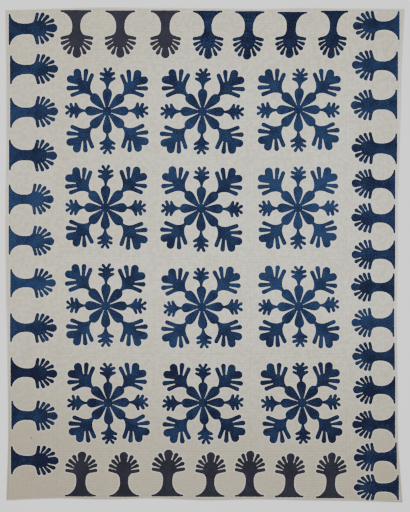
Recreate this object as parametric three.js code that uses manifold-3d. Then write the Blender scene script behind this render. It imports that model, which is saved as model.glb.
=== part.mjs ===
// A bridal quilt of white cotton, laid out flat: twelve oak leaf blocks and a border of trees, cut from
// indigo print and sewn onto a quilted ground that is bound at its edges.
// Millimetres, +Z up. The quilt lies on the plane z = 0 with its head towards +Y, and the origin is
// under the middle of its outline.
import * as THREE from 'three';
import { mergeVertices } from 'three/addons/utils/BufferGeometryUtils.js';
import Module from 'manifold-3d';

const wasm = await Module();
wasm.setup();

// The quilt's nominal size, before its edges stray
const WIDTH = 2100;
const LENGTH = 2620;

// The layers, from the floor up. Cotton tape and cut motifs are a little thicker here than in life.
const CLOTH = 1.0;
const CLEARANCE = 0.3;
const VALLEY = 2.7;
const RIDGE = 4.0;
const BINDING_TOP = VALLEY + CLEARANCE + CLOTH;
const MOTIF_BOTTOM = RIDGE + CLEARANCE;
const BINDING_WIDTH = 9.5;
const MITRE_GAP = 0.25;

// The blocks, and the rows of quilting that cross each one
const BLOCK = { width: 514, length: 520, columns: 3, rows: 4, quiltRows: 32 };
const FIELD_CENTRE = new THREE.Vector2(-11, -12);
const BORDER_QUILT_ROWS = 18;

// How far out of the nominal rectangle each edge strays, at even steps along it.
// Left and right run from head to foot, head and foot from left to right.
const EDGE_STRAY = [
  { left: 13, right: 13, head: -6, foot: -3 },
  { left: 8, right: -3, head: 1, foot: -13 },
  { left: 7, right: -10, head: 8, foot: -8 },
  { left: 12, right: -23, head: 5, foot: -13 },
  { left: 12, right: -24, head: 5, foot: -3 },
  { left: 6, right: -29, head: 0, foot: -8 },
  { left: 0, right: -24, head: 5, foot: -3 },
  { left: -3, right: -20, head: 2, foot: 0 },
  { left: 7, right: 3, head: 0, foot: 8 },
];
const EDGE_STEPS = EDGE_STRAY.length - 1;

// One row for each block, from the head's left corner: how far it was sewn from its place, and its turn.
// Leaves come upper left, lower left, lower right and upper right, and sprigs up, left, down and right.
// Each has how far its tip sways to its own right, and how far it reaches past the pattern.
const BLOCK_SEWN = [
  { dx: 5, dy: -4, turn: 1.0,
    leaves: [[15, 10], [2, 7], [1, 9], [3, 10]], sprigs: [[9, 11], [11, 0], [0, 7], [0, -2]] },
  { dx: -1, dy: -6, turn: -0.5,
    leaves: [[7, 11], [1, 17], [3, 12], [0, 16]], sprigs: [[3, 11], [0, 0], [4, 7], [0, 0]] },
  { dx: -3, dy: 6, turn: -0.7,
    leaves: [[-2, 3], [-6, 9], [-5, 3], [6, 10]], sprigs: [[9, -5], [-10, 0], [-3, 4], [2, -2]] },
  { dx: -3, dy: 2, turn: 0.0,
    leaves: [[1, 3], [2, -5], [0, 17], [2, 12]], sprigs: [[2, 5], [2, -10], [3, -4], [0, -5]] },
  { dx: -8, dy: -2, turn: -1.0,
    leaves: [[6, 5], [-2, 2], [5, 18], [-1, 6]], sprigs: [[1, 1], [-2, -10], [-5, 10], [1, 2]] },
  { dx: -6, dy: 2, turn: 0.4,
    leaves: [[2, -2], [-8, 0], [5, -5], [-2, 4]], sprigs: [[5, -2], [-3, -13], [0, -2], [2, -5]] },
  { dx: -2, dy: -1, turn: 0.0,
    leaves: [[4, 11], [-1, -6], [-8, 8], [-4, 2]], sprigs: [[4, 4], [4, -12], [0, -4], [0, -7]] },
  { dx: -4, dy: -7, turn: 0.5,
    leaves: [[-5, -5], [-3, 2], [0, 0], [-6, -4]], sprigs: [[-3, -12], [-9, -19], [-13, -1], [0, -5]] },
  { dx: -1, dy: -4, turn: 1.0,
    leaves: [[6, 4], [1, 2], [7, 9], [-2, -9]], sprigs: [[4, -6], [0, -6], [-4, -6], [-8, -8]] },
  { dx: 11, dy: 3, turn: 1.2,
    leaves: [[1, 0], [4, -7], [-3, 3], [-1, -9]], sprigs: [[2, -10], [4, -6], [-4, -2], [0, -8]] },
  { dx: 3, dy: 3, turn: 0.8,
    leaves: [[0, -6], [1, 2], [-9, 7], [6, -9]], sprigs: [[3, -15], [0, -6], [-13, -2], [0, -8]] },
  { dx: 17, dy: 3, turn: 1.5,
    leaves: [[-4, 7], [3, -4], [4, 1], [-6, -9]], sprigs: [[-6, -4], [1, -4], [-1, -2], [0, -18]] },
];

// A motif's outline runs as a belt does, round the outside of each lobe and the inside of each notch.
// One row for each, on one side of the stem from root to tip: the middle of its round (across and along
// the stem) and its radius, which is negative for a notch. Curves are given by their ends and pulls.
const SLIT = { across: 0, along: 27, radius: -2 };
const PETAL = { swell: [18, 60], shoulder: [43, 103], steps: 3 };
const SPRIG = {
  neck: [7, 117],
  flare: [[8.5, 135], [15, 147], [26, 152]],
  flareSteps: 2,
  rounds: [
    { across: 36, along: 166, radius: 8 },
    { across: 22, along: 175, radius: -1.5 },
    { across: 33, along: 192, radius: 9.5 },
    { across: 15, along: 197, radius: -1.5 },
    { across: 16, along: 214, radius: 9.5 },
  ],
  notch: { across: 0, along: 206, radius: -1.5 },
  tip: 222,
};
const LEAF = {
  neck: [9, 117],
  flare: [[11, 140], [31, 156], [53, 164]],
  flareSteps: 2,
  rounds: [
    { across: 75, along: 185, radius: 12 },
    { across: 33, along: 182, radius: -2 },
    { across: 65, along: 222, radius: 13.5 },
    { across: 21, along: 201, radius: -2 },
    { across: 25, along: 248, radius: 21.5 },
  ],
  notch: { across: 0, along: 254, radius: -2.5 },
  tip: 267,
};
// Where a curve of the trunk has across at or below 0, half the trunk's width is added to it
const TREE = {
  width: 158,
  height: 256,
  root: [[80, 0], [46, 20], [-1, 47], [0, 88]],
  rootSteps: 3,
  crown: [[0, 88], [0, 112], [27, 130], [48, 136]],
  crownSteps: 2,
  rounds: [
    { across: 74, along: 152, radius: 10 },
    { across: 42, along: 157, radius: -1.5 },
    { across: 71, along: 180, radius: 11 },
    { across: 38, along: 173, radius: -1.5 },
    { across: 60, along: 206, radius: 11.5 },
    { across: 32, along: 193, radius: -1.5 },
    { across: 40, along: 230, radius: 11.5 },
    { across: 18, along: 203, radius: -2 },
  ],
  crest: { across: 0, along: 236, radius: 23, corners: 3 },
};
const ARMS = 8;
const LOBE_CORNERS = 2;

// The trees along each edge: where each stands along it, how far its foot is from it, its height and
// width, half its trunk's width, and how far its crown leans sideways for each unit of height
const TREES = {
  left: [
    { at: 1200, foot: 17, tall: 258, wide: 165, trunk: 28, lean: -0.03 },
    { at: 985, foot: 21, tall: 255, wide: 154, trunk: 26, lean: -0.02 },
    { at: 756, foot: 20, tall: 255, wide: 160, trunk: 25.5, lean: -0.03 },
    { at: 532, foot: 16, tall: 255, wide: 163, trunk: 27.5, lean: 0.02 },
    { at: 295, foot: 18, tall: 239, wide: 158, trunk: 26, lean: 0 },
    { at: 78, foot: 18, tall: 242, wide: 156, trunk: 25, lean: 0.03 },
    { at: -151, foot: 24, tall: 242, wide: 150, trunk: 25, lean: 0 },
    { at: -388, foot: 18, tall: 248, wide: 153, trunk: 24, lean: 0.01 },
    { at: -625, foot: 16, tall: 248, wide: 156, trunk: 24, lean: 0.04 },
    { at: -855, foot: 17, tall: 246, wide: 153, trunk: 25, lean: 0.02 },
    { at: -1095, foot: 17, tall: 253, wide: 152, trunk: 26, lean: 0.01 },
  ],
  right: [
    { at: 1221, foot: 19, tall: 248, wide: 154, trunk: 24, lean: -0.01 },
    { at: 1004, foot: 17, tall: 244, wide: 158, trunk: 24, lean: 0.03 },
    { at: 801, foot: 16, tall: 247, wide: 158, trunk: 26.5, lean: -0.02 },
    { at: 564, foot: 10, tall: 242, wide: 163, trunk: 27, lean: 0.02 },
    { at: 374, foot: 12, tall: 231, wide: 155, trunk: 22.5, lean: 0.03 },
    { at: 191, foot: 10, tall: 233, wide: 153, trunk: 24, lean: 0.03 },
    { at: 0, foot: 10, tall: 231, wide: 152, trunk: 24, lean: 0 },
    { at: -174, foot: 10, tall: 232, wide: 149, trunk: 24.5, lean: 0.01 },
    { at: -362, foot: 10, tall: 227, wide: 152, trunk: 24.5, lean: 0 },
    { at: -542, foot: 10, tall: 226, wide: 147, trunk: 25, lean: 0 },
    { at: -721, foot: 10, tall: 224, wide: 147, trunk: 24, lean: 0.01 },
    { at: -905, foot: 12, tall: 228, wide: 146, trunk: 25, lean: 0 },
    { at: -1073, foot: 10, tall: 229, wide: 146, trunk: 25, lean: -0.04 },
    { at: -1240, foot: 12, tall: 239, wide: 134, trunk: 27, lean: 0 },
  ],
  head: [
    { at: -685, foot: 11, tall: 253, wide: 166, trunk: 21.5, lean: -0.02 },
    { at: -449, foot: 16, tall: 251, wide: 160, trunk: 23, lean: 0 },
    { at: -209, foot: 13, tall: 253, wide: 158, trunk: 24, lean: 0 },
    { at: 17, foot: 14, tall: 257, wide: 157, trunk: 21, lean: -0.01 },
    { at: 241, foot: 12, tall: 257, wide: 157, trunk: 23, lean: 0.06 },
    { at: 468, foot: 20, tall: 245, wide: 158, trunk: 25.5, lean: 0.07 },
    { at: 693, foot: 13, tall: 254, wide: 145, trunk: 21.5, lean: 0.08 },
  ],
  foot: [
    { at: -662, foot: 10, tall: 238, wide: 165, trunk: 24.5, lean: 0.04 },
    { at: -428, foot: 10, tall: 237, wide: 160, trunk: 22, lean: -0.01 },
    { at: -199, foot: 10, tall: 248, wide: 170, trunk: 24, lean: 0.03 },
    { at: 29, foot: 16, tall: 237, wide: 156, trunk: 22.5, lean: 0.02 },
    { at: 239, foot: 12, tall: 244, wide: 155, trunk: 22.5, lean: 0.02 },
    { at: 450, foot: 12, tall: 234, wide: 153, trunk: 25, lean: 0.04 },
    { at: 669, foot: 11, tall: 242, wide: 153, trunk: 25, lean: 0.04 },
  ],
};
// The faded print was used for the first trees of the head and for every tree of the foot
const FADED_HEAD_TREES = 3;

const CLOTH_LOOK = { roughness: 0.95, metalness: 0 };
const PAINT = {
  ground: { color: 0xd6d2c6, ...CLOTH_LOOK },
  binding: { color: 0xe2dfd4, ...CLOTH_LOOK },
  indigo: { color: 0x1f3d63, ...CLOTH_LOOK },
  faded: { color: 0x33374a, ...CLOTH_LOOK },
};

const quilt = new THREE.Group();

function addPiece(name, geometry, paint) {
  const mesh = new THREE.Mesh(geometry, new THREE.MeshStandardMaterial(paint));
  mesh.name = name;
  quilt.add(mesh);
  return mesh;
}

function toSolid(geometry) {
  const bare = geometry.clone();
  bare.deleteAttribute('normal');
  bare.deleteAttribute('uv');
  const merged = mergeVertices(bare);
  return new wasm.Manifold(new wasm.Mesh({
    numProp: 3,
    vertProperties: new Float32Array(merged.attributes.position.array),
    triVerts: new Uint32Array(merged.index.array),
  }));
}

function toGeometry(solid) {
  const mesh = solid.getMesh();
  const geometry = new THREE.BufferGeometry();
  geometry.setAttribute('position', new THREE.BufferAttribute(mesh.vertProperties, mesh.numProp));
  geometry.setIndex(new THREE.BufferAttribute(mesh.triVerts, 1));
  geometry.computeVertexNormals();
  return geometry;
}

// The quilt's outline

// A point of an edge, drawn in by inset. At a corner it is drawn in from both edges, as a mitre.
function edgePoint(side, step, inset, endGap = 0) {
  const share = step / EDGE_STEPS;
  const corner = (step === 0 ? inset + endGap : 0) - (step === EDGE_STEPS ? inset + endGap : 0);
  const first = EDGE_STRAY[0];
  const last = EDGE_STRAY[EDGE_STEPS];
  const stray = EDGE_STRAY[step][side];
  if (side === 'left' || side === 'right') {
    const ends = side === 'left' ? [first.head, first.foot] : [last.head, last.foot];
    const y = THREE.MathUtils.lerp(LENGTH / 2 + ends[0], -LENGTH / 2 - ends[1], share) - corner;
    const x = WIDTH / 2 + stray - inset;
    return new THREE.Vector2(side === 'left' ? -x : x, y);
  }
  const ends = side === 'head' ? [first.left, first.right] : [last.left, last.right];
  const x = THREE.MathUtils.lerp(-WIDTH / 2 - ends[0], WIDTH / 2 + ends[1], share) + corner;
  const y = LENGTH / 2 + stray - inset;
  return new THREE.Vector2(x, side === 'head' ? y : -y);
}

function outline(inset) {
  const walk = (side, steps) => steps.map((step) => edgePoint(side, step, inset));
  const onward = [...Array(EDGE_STEPS).keys()];
  const back = onward.map((step) => EDGE_STEPS - step);
  return new THREE.Shape([
    ...walk('left', onward),
    ...walk('foot', onward),
    ...walk('right', back),
    ...walk('head', back),
  ]);
}

// The quilted body: two cloths and the wadding between them, sewn through in straight rows

function quiltedPanel(width, length, rows) {
  const pitch = width / rows;
  const profile = [new THREE.Vector2(0, 0), new THREE.Vector2(width, 0)];
  for (let row = rows; row > 0; row -= 1) {
    profile.push(new THREE.Vector2(row * pitch, VALLEY));
    profile.push(new THREE.Vector2((row - 0.5) * pitch, RIDGE));
  }
  profile.push(new THREE.Vector2(0, VALLEY));
  const panel = new THREE.ExtrudeGeometry(new THREE.Shape(profile), {
    depth: length,
    bevelEnabled: false,
  });
  panel.rotateX(Math.PI / 2);
  return panel.translate(-width / 2, length / 2, 0);
}

function plate(shape, bottom, top) {
  const geometry = new THREE.ExtrudeGeometry(shape, { depth: top - bottom, bevelEnabled: false });
  return toSolid(geometry.translate(0, 0, bottom));
}

function quiltBody() {
  const field = new THREE.Vector2(BLOCK.width * BLOCK.columns, BLOCK.length * BLOCK.rows);
  const reach = Math.max(...EDGE_STRAY.flatMap((row) => Object.values(row)));
  const seam = {
    left: FIELD_CENTRE.x - field.x / 2,
    right: FIELD_CENTRE.x + field.x / 2,
    head: FIELD_CENTRE.y + field.y / 2,
    foot: FIELD_CENTRE.y - field.y / 2,
  };
  const panels = [];
  const centre = quiltedPanel(field.x, field.y, BLOCK.quiltRows * BLOCK.columns);
  panels.push(centre.translate(FIELD_CENTRE.x, FIELD_CENTRE.y, 0));
  for (const [from, to] of [[-WIDTH / 2 - reach, seam.left], [seam.right, WIDTH / 2 + reach]]) {
    const border = quiltedPanel(to - from, LENGTH + 2 * reach, BORDER_QUILT_ROWS);
    panels.push(border.translate((from + to) / 2, 0, 0));
  }
  for (const [from, to] of [[-LENGTH / 2 - reach, seam.foot], [seam.head, LENGTH / 2 + reach]]) {
    const border = quiltedPanel(to - from, field.x, BORDER_QUILT_ROWS);
    panels.push(border.rotateZ(Math.PI / 2).translate(FIELD_CENTRE.x, (from + to) / 2, 0));
  }
  const wadded = panels.map(toSolid).reduce((body, panel) => body.add(panel));
  const inBinding = outline(BINDING_WIDTH + CLEARANCE);
  const tongue = plate(outline(CLOTH + CLEARANCE), CLOTH + CLEARANCE, VALLEY);
  return wadded.intersect(plate(inBinding, 0, RIDGE)).add(tongue);
}

// The binding: a strip folded over each edge, mitred at the corners

function bindingStrip(side) {
  const section = [
    [0, 0],
    [BINDING_WIDTH, 0],
    [BINDING_WIDTH, CLOTH],
    [CLOTH, CLOTH],
    [CLOTH, BINDING_TOP - CLOTH],
    [BINDING_WIDTH, BINDING_TOP - CLOTH],
    [BINDING_WIDTH, BINDING_TOP],
    [0, BINDING_TOP],
  ];
  const count = section.length;
  const places = [];
  for (let step = 0; step <= EDGE_STEPS; step += 1) {
    for (const [inset, z] of section) {
      const point = edgePoint(side, step, inset, MITRE_GAP);
      places.push(point.x, point.y, z);
    }
  }
  const faces = [];
  for (let step = 0; step < EDGE_STEPS; step += 1) {
    for (let i = 0; i < count; i += 1) {
      const near = step * count + i;
      const next = step * count + ((i + 1) % count);
      faces.push([near, next, next + count], [near, next + count, near + count]);
    }
  }
  const cap = THREE.ShapeUtils.triangulateShape(section.map(([x, y]) => new THREE.Vector2(x, y)), []);
  const end = EDGE_STEPS * count;
  faces.push(...cap.map(([a, b, c]) => [a, c, b]), ...cap.map((face) => face.map((i) => i + end)));
  // The section turns the same way on every side, so on two of them its faces come out inside out
  const flip = side === 'right' || side === 'head';
  const geometry = new THREE.BufferGeometry();
  geometry.setAttribute('position', new THREE.Float32BufferAttribute(places, 3));
  geometry.setIndex((flip ? faces.map(([a, b, c]) => [a, c, b]) : faces).flat());
  geometry.computeVertexNormals();
  return geometry;
}

// The cut motifs

// A cubic curve from its ends and pulls, as plain points without the last
function curve(pulls, steps) {
  const line = new THREE.CubicBezierCurve(...pulls.map(([x, y]) => new THREE.Vector2(x, y)));
  return line.getPoints(steps).slice(0, -1).map(({ x, y }) => ({ across: x, along: y, radius: 0 }));
}

// Where the belt leaves each round, as an angle: along the line that touches it and the next one
function leaving(rounds) {
  return rounds.map((round, index) => {
    const next = rounds[(index + 1) % rounds.length];
    const run = new THREE.Vector2(next.across - round.across, next.along - round.along);
    return run.angle() - Math.asin((next.radius - round.radius) / run.length());
  });
}

// The corners of a closed outline that runs anticlockwise round each lobe and clockwise round each notch
function belt(rounds) {
  const headings = leaving(rounds);
  return rounds.flatMap(({ across, along, radius, corners = radius > 0 ? LOBE_CORNERS : 1 }, index) => {
    const start = headings.at(index - 1);
    const way = Math.sign(radius);
    const sweep = way * THREE.MathUtils.euclideanModulo(way * (headings[index] - start), 2 * Math.PI);
    // A lobe's corners stand a little outside its round, so that both cover the same area
    const part = Math.abs(sweep / corners);
    const reach = corners > 1 ? radius * Math.sqrt(part / Math.sin(part)) : radius;
    return Array.from({ length: corners }, (_, corner) => {
      const turn = start + (sweep * (corner + 0.5)) / corners;
      return new THREE.Vector2(across + reach * Math.sin(turn), along - reach * Math.cos(turn));
    });
  });
}

function mirrored(rounds) {
  return rounds.map((round) => ({ ...round, across: -round.across })).reverse();
}

function turned(rounds, angle) {
  const middle = new THREE.Vector2();
  return rounds.map(({ across, along, radius }) => {
    const place = new THREE.Vector2(across, along).rotateAround(middle, angle);
    return { across: place.x, along: place.y, radius };
  });
}

// One side of an arm of a block: half a petal, and half the sprig or leaf that grows from it
function armSide(growth) {
  const [slit] = turned([SLIT], -Math.PI / ARMS);
  return [
    ...curve([[slit.across, slit.along], PETAL.swell, PETAL.shoulder, growth.neck], PETAL.steps).slice(1),
    ...curve([growth.neck, ...growth.flare], growth.flareSteps),
    ...growth.rounds,
  ];
}

// Eight arms round a middle, parted by slits: sprigs on the axes and leaves on the diagonals
function blockOutline({ leaves, sprigs }) {
  const turn = (2 * Math.PI) / ARMS;
  const rounds = [];
  for (let arm = 0; arm < ARMS; arm += 1) {
    const [growth, grown] = arm % 2 === 0 ? [SPRIG, sprigs] : [LEAF, leaves];
    const [sway, reach] = grown[Math.floor(arm / 2)];
    const side = armSide(growth);
    const swayed = [...side, growth.notch, ...mirrored(side)].map(({ across, along, radius }) => {
      const share = Math.max(0, (along - SLIT.along) / (growth.tip - SLIT.along));
      return { across: across + share * sway, along: along + share * reach, radius };
    });
    rounds.push(...turned(swayed, turn * arm), ...turned([SLIT], turn * (arm + 0.5)));
  }
  return new THREE.Shape(belt(rounds));
}

function treeOutline({ tall, wide, trunk, lean }) {
  const widened = (pulls) => pulls.map(([across, along]) => [across > 0 ? across : across + trunk, along]);
  const side = [
    ...curve(widened(TREE.root), TREE.rootSteps),
    ...curve(widened(TREE.crown), TREE.crownSteps),
    ...TREE.rounds,
  ];
  return new THREE.Shape(belt([...side, TREE.crest, ...mirrored(side)]).map(({ x, y }) => {
    const up = (y * tall) / TREE.height;
    return new THREE.Vector2((x * wide) / TREE.width + up * lean, up);
  }));
}

function motif(shape) {
  return new THREE.ExtrudeGeometry(shape, { depth: CLOTH, bevelEnabled: false });
}

function addBlocks() {
  BLOCK_SEWN.forEach((sewn, index) => {
    const column = index % BLOCK.columns;
    const row = Math.floor(index / BLOCK.columns);
    const mesh = addPiece(`oak_block_r${row + 1}c${column + 1}`, motif(blockOutline(sewn)), PAINT.indigo);
    mesh.position.set(
      FIELD_CENTRE.x + (column - (BLOCK.columns - 1) / 2) * BLOCK.width + sewn.dx,
      FIELD_CENTRE.y - (row - (BLOCK.rows - 1) / 2) * BLOCK.length + sewn.dy,
      MOTIF_BOTTOM,
    );
    mesh.rotation.z = THREE.MathUtils.degToRad(sewn.turn);
  });
}

// How far an edge strays at a place along it, between the table's steps
function strayAt(side, at) {
  const run = side === 'left' || side === 'right' ? LENGTH / 2 - at : at + WIDTH / 2;
  const full = side === 'left' || side === 'right' ? LENGTH : WIDTH;
  const place = THREE.MathUtils.clamp((run / full) * EDGE_STEPS, 0, EDGE_STEPS - 0.001);
  const step = Math.floor(place);
  return THREE.MathUtils.lerp(EDGE_STRAY[step][side], EDGE_STRAY[step + 1][side], place - step);
}

function addTrees() {
  const growing = { left: -Math.PI / 2, right: Math.PI / 2, head: Math.PI, foot: 0 };
  for (const [side, trees] of Object.entries(TREES)) {
    trees.forEach((tree, index) => {
      const { at, foot } = tree;
      const faded = side === 'foot' || (side === 'head' && index < FADED_HEAD_TREES);
      const number = String(index + 1).padStart(2, '0');
      const shape = treeOutline(tree);
      const mesh = addPiece(`tree_${side}_${number}`, motif(shape), faded ? PAINT.faded : PAINT.indigo);
      const across = side === 'left' || side === 'right' ? WIDTH / 2 : LENGTH / 2;
      const out = across + strayAt(side, at) - foot;
      const place = { left: [-out, at], right: [out, at], head: [at, out], foot: [at, -out] }[side];
      mesh.position.set(place[0], place[1], MOTIF_BOTTOM);
      mesh.rotation.z = growing[side];
    });
  }
}

addPiece('quilt_body', toGeometry(quiltBody()), PAINT.ground);
for (const side of ['head', 'foot', 'left', 'right']) {
  addPiece(`binding_${side}`, bindingStrip(side), PAINT.binding);
}
addBlocks();
addTrees();

// The edges stray by different amounts, so the quilt is set down by the middle of its true outline
const middle = new THREE.Box3().setFromObject(quilt, true).getCenter(new THREE.Vector3());
quilt.position.set(-middle.x, -middle.y, 0);

export default quilt;
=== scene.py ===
"""Dresses the bridal quilt: white cotton with indigo oak leaf blocks, a border of trees and a binding.

Sizes are in millimetres, as in the part's source, and are turned into metres where a mesh is made.
Places are measured from the middle of the quilt's nominal rectangle, and MIDDLE moves them to the
frame's origin.
"""

import math

import bpy
import numpy as np
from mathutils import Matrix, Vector
from mathutils.geometry import delaunay_2d_cdt
from mathutils.kdtree import KDTree


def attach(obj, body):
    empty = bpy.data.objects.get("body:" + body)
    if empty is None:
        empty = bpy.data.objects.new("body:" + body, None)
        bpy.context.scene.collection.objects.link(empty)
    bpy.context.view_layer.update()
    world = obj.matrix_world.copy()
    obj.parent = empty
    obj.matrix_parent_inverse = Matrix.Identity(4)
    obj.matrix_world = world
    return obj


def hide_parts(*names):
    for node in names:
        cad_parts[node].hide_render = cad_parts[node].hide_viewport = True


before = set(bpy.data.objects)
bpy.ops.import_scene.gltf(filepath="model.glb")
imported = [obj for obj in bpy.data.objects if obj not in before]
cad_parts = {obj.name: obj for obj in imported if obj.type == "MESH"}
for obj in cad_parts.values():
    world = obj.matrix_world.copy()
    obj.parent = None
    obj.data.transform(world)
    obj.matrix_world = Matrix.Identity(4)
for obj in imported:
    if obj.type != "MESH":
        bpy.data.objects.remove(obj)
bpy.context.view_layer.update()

MM = 0.001
BODY = "root"

# The quilt's nominal size, before its edges stray, and its blocks
WIDTH = 2100
LENGTH = 2620
BLOCK_WIDTH = 514
BLOCK_LENGTH = 520
COLUMNS = 3
ROWS = 4
FIELD_CENTRE = np.array([-11, -12])
SEAM_LEFT, SEAM_FOOT = FIELD_CENTRE - np.array([COLUMNS * BLOCK_WIDTH, ROWS * BLOCK_LENGTH]) / 2
SEAM_RIGHT, SEAM_HEAD = FIELD_CENTRE + np.array([COLUMNS * BLOCK_WIDTH, ROWS * BLOCK_LENGTH]) / 2

# How far out of the nominal rectangle each edge strays, at even steps along it.
# Left and right run from head to foot, head and foot from left to right.
EDGE_STRAY = {
    "left": [13, 8, 7, 12, 12, 6, 0, -3, 7],
    "right": [13, -3, -10, -23, -24, -29, -24, -20, 3],
    "head": [-6, 1, 8, 5, 5, 0, 5, 2, 0],
    "foot": [-3, -13, -8, -13, -3, -8, -3, 0, 8],
}

# Heights of the layers above the floor
BACKING_Z = 0.15
BACKING_LIFT = 1.2
VALLEY_Z = 2.95
PUFF = 1.25
EDGE_Z = 2.55
SEAM_DIP = 0.45
UNDER_MOTIF = 0.5
MOTIF_RIM = 0.3
MOTIF_RISE = 0.75
MOTIF_PUFF = 0.4
RIPPLE = 1.3
RIPPLE_LENGTHS = (900, 700, 560, 430, 380)
PUFF_POWER = 0.8
FLOOR_DROP = 0.4
BINDING_WIDTH = 9.5

# How far the top cloth is tucked into the binding, and how near a seam, an edge or a motif it sinks
TUCKED = 2
SEAM_SINK = 5
OPEN_FROM_SEAM = 7
OPEN_FROM_BINDING = 7
SUNK_UNDER_BINDING = 2
SUNK_FROM_BINDING = 3
MOTIF_HEM = 1.5

# The rows of quilting, and the mesh cells in each
BLOCK_QUILT_ROWS = 32
BORDER_QUILT_ROWS = 18
CELLS_A_ROW = 4
BORDER_STEP = 8
BACKING_STEP = 20
BINDING_STEP = 10

# One row for each block, from the head's left corner: how far it was sewn from its place, and its turn.
# Leaves come upper left, lower left, lower right and upper right, and sprigs up, left, down and right.
# Each has how far its tip sways to its own right, and how far it reaches past the pattern.
BLOCK_SEWN = [
    {"dx": 5, "dy": -4, "turn": 1.0,
     "leaves": [(15, 10), (2, 7), (1, 9), (3, 10)], "sprigs": [(9, 11), (11, 0), (0, 7), (0, -2)]},
    {"dx": -1, "dy": -6, "turn": -0.5,
     "leaves": [(7, 11), (1, 17), (3, 12), (0, 16)], "sprigs": [(3, 11), (0, 0), (4, 7), (0, 0)]},
    {"dx": -3, "dy": 6, "turn": -0.7,
     "leaves": [(-2, 3), (-6, 9), (-5, 3), (6, 10)], "sprigs": [(9, -5), (-10, 0), (-3, 4), (2, -2)]},
    {"dx": -3, "dy": 2, "turn": 0.0,
     "leaves": [(1, 3), (2, -5), (0, 17), (2, 12)], "sprigs": [(2, 5), (2, -10), (3, -4), (0, -5)]},
    {"dx": -8, "dy": -2, "turn": -1.0,
     "leaves": [(6, 5), (-2, 2), (5, 18), (-1, 6)], "sprigs": [(1, 1), (-2, -10), (-5, 10), (1, 2)]},
    {"dx": -6, "dy": 2, "turn": 0.4,
     "leaves": [(2, -2), (-8, 0), (5, -5), (-2, 4)], "sprigs": [(5, -2), (-3, -13), (0, -2), (2, -5)]},
    {"dx": -2, "dy": -1, "turn": 0.0,
     "leaves": [(4, 11), (-1, -6), (-8, 8), (-4, 2)], "sprigs": [(4, 4), (4, -12), (0, -4), (0, -7)]},
    {"dx": -4, "dy": -7, "turn": 0.5,
     "leaves": [(-5, -5), (-3, 2), (0, 0), (-6, -4)],
     "sprigs": [(-3, -12), (-9, -19), (-13, -1), (0, -5)]},
    {"dx": -1, "dy": -4, "turn": 1.0,
     "leaves": [(6, 4), (1, 2), (7, 9), (-2, -9)], "sprigs": [(4, -6), (0, -6), (-4, -6), (-8, -8)]},
    {"dx": 11, "dy": 3, "turn": 1.2,
     "leaves": [(1, 0), (4, -7), (-3, 3), (-1, -9)], "sprigs": [(2, -10), (4, -6), (-4, -2), (0, -8)]},
    {"dx": 3, "dy": 3, "turn": 0.8,
     "leaves": [(0, -6), (1, 2), (-9, 7), (6, -9)], "sprigs": [(3, -15), (0, -6), (-13, -2), (0, -8)]},
    {"dx": 17, "dy": 3, "turn": 1.5,
     "leaves": [(-4, 7), (3, -4), (4, 1), (-6, -9)], "sprigs": [(-6, -4), (1, -4), (-1, -2), (0, -18)]},
]

# A motif's outline runs as a belt does, round the outside of each lobe and the inside of each notch.
# One row for each, on one side of the stem from root to tip: the middle of its round (across and along
# the stem) and its radius, which is negative for a notch.
SLIT = {"out": 27, "radius": 2}
PETAL = {"swell": (18, 60), "shoulder": (43, 103)}
SPRIG = {
    "neck": (7, 117),
    "flare": [(8.5, 135), (15, 147), (26, 152)],
    "rounds": [(36, 166, 8), (22, 175, -1.5), (33, 192, 9.5), (15, 197, -1.5), (16, 214, 9.5)],
    "notch": (0, 206, -1.5),
    "tip": 222,
}
LEAF = {
    "neck": (9, 117),
    "flare": [(11, 140), (31, 156), (53, 164)],
    "rounds": [(75, 185, 12), (33, 182, -2), (65, 222, 13.5), (21, 201, -2), (25, 248, 21.5)],
    "notch": (0, 254, -2.5),
    "tip": 267,
}
TREE = {
    "width": 158,
    "height": 256,
    "toe": (74, 6, 6),
    "root": [(71, 11), (44, 19), (-1, 47), (0, 88)],
    "crown": [(0, 88), (0, 112), (27, 130), (48, 136)],
    "rounds": [
        (74, 152, 10), (42, 157, -1.5), (71, 180, 11), (38, 173, -1.5),
        (60, 206, 11.5), (32, 193, -1.5), (40, 230, 11.5), (18, 203, -2),
    ],
    "crest": (0, 236, 23),
}
ARMS = 8

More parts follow.
